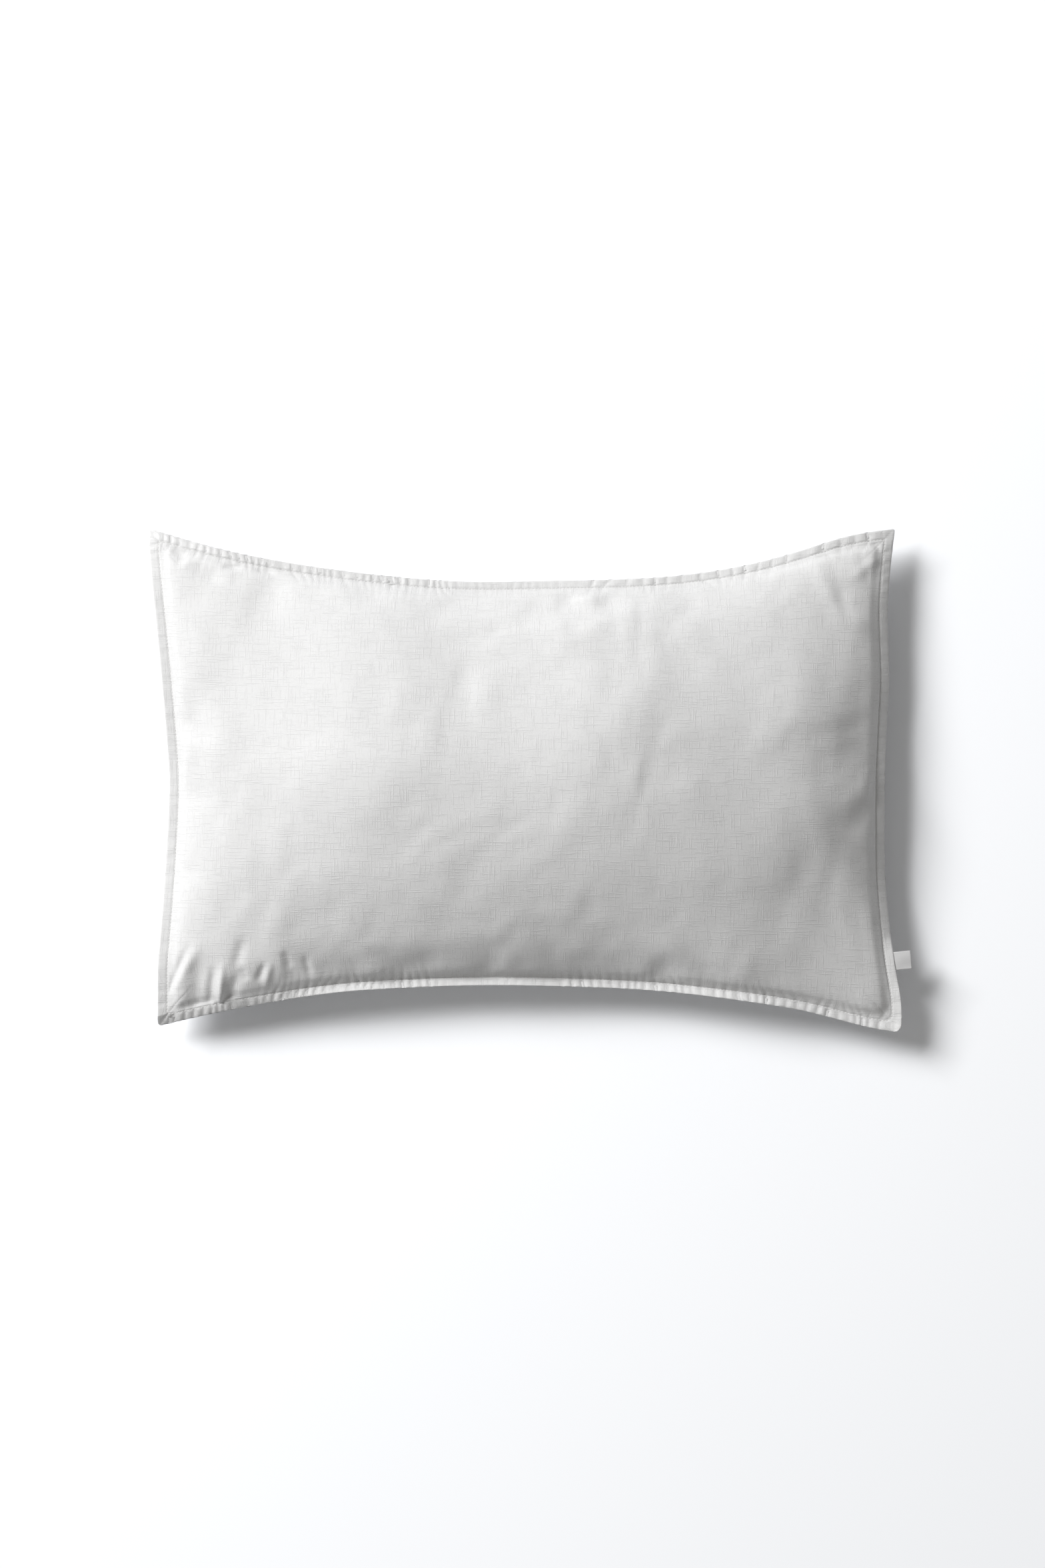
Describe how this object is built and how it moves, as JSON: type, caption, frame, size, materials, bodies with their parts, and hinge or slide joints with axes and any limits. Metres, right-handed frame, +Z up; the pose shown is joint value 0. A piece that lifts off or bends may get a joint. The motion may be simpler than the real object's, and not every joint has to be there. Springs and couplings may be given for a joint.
{
  "type": "bed pillow",
  "caption": "Rectangular bed pillow: a full piped insert in a white linen case with a narrow stitched flange, an envelope back and a small folded side label.",
  "frame": {"origin": "centre of the flat patch of the underside that the pillow rests on", "axes": "+X along the pillow's length, towards the short edge that has the label; +Y across it, away from the label's end of that edge; +Z up, from the back with the opening to the plain front"},
  "size_m": [0.7358, 0.486, 0.12],
  "materials": {
    "linen": "washed plain-weave linen, matt, with slubs",
    "sewing_thread": "twisted cotton-wrapped thread",
    "label_ribbon": "satin-woven ribbon with a low sheen",
    "care_ribbon": "thin coated satin ribbon, blank",
    "ticking": "dense twill cotton ticking",
    "piping_cotton": "bias-cut cotton strip",
    "cotton_cord": "soft twisted cotton cord",
    "fibre": "loose crimped hollow fibre"
  },
  "bodies": {
    "pillow": {"case_front_panel": "linen", "case_back_panel": "linen", "case_back_flap": "linen", "topstitch_needle_thread": "sewing_thread", "topstitch_bobbin_thread": "sewing_thread", "edge_seam_thread": "sewing_thread", "opening_hem_thread": "sewing_thread", "flap_hem_thread": "sewing_thread", "opening_bar_tacks": "sewing_thread", "side_label_tails": "label_ribbon", "case_care_label": "care_ribbon", "insert_ticking_top": "ticking", "insert_ticking_bottom": "ticking", "insert_piping_strip": "piping_cotton", "insert_piping_cord": "cotton_cord", "insert_seam_thread": "sewing_thread", "insert_closing_stitch": "sewing_thread", "insert_care_label": "care_ribbon", "fibre_fill": "fibre"},
    "side_label": {"side_label": "label_ribbon"}
  },
  "joints": [
    {"name": "label_flap", "type": "hinge", "parent": "pillow", "child": "side_label", "pos_m": [0.35639, -0.17592, 0.04], "axis": [-0.0891, 0.996, 0], "range_deg": [-85, 85]}
  ]
}
